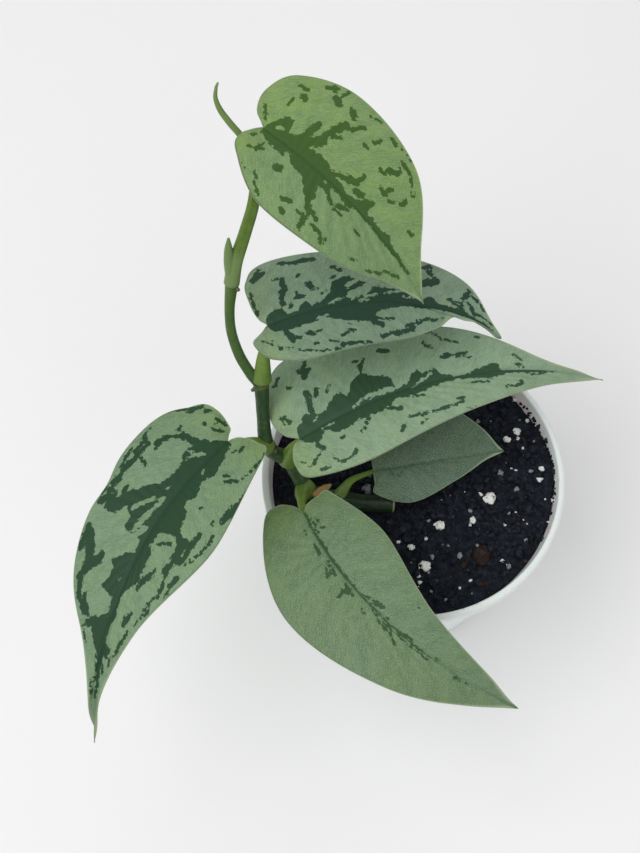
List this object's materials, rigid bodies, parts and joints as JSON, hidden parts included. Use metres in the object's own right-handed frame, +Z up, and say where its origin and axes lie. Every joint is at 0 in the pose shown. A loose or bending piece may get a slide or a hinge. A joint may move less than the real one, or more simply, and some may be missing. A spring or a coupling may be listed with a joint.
{
  "type": "satin pothos in a nursery pot",
  "caption": "Trailing satin pothos with heart-shaped silver-marked leaves on a short leaning vine, rooted in soil in a round tapered nursery pot.",
  "frame": {"origin": "centre of the pot's flat bottom face", "axes": "+Z up along the pot's axis, -Y towards the viewer of the picture, +X to the viewer's right"},
  "size_m": [0.1577, 0.188, 0.2007],
  "materials": {
    "pot_plastic": "thin translucent white, smooth",
    "potting_soil": "moist peat and bark mix with white perlite",
    "stem": "living green stem, satin",
    "petiole": "living light green stalk, satin",
    "blade": "living leaf, dark green with silver satin markings",
    "dry_scale": "dry papery scale"
  },
  "bodies": {
    "root": {"pot": "pot_plastic", "soil": "potting_soil", "stem": "stem", "petiole_1": "petiole", "petiole_2": "petiole", "petiole_3": "petiole", "petiole_4": "petiole", "petiole_5": "petiole", "petiole_6": "petiole", "leaf_1": "blade", "leaf_2": "blade", "leaf_3": "blade", "leaf_4": "blade", "leaf_5": "blade", "leaf_6": "blade", "new_leaf": "petiole", "dry_bract": "dry_scale"}
  },
  "joints": []
}
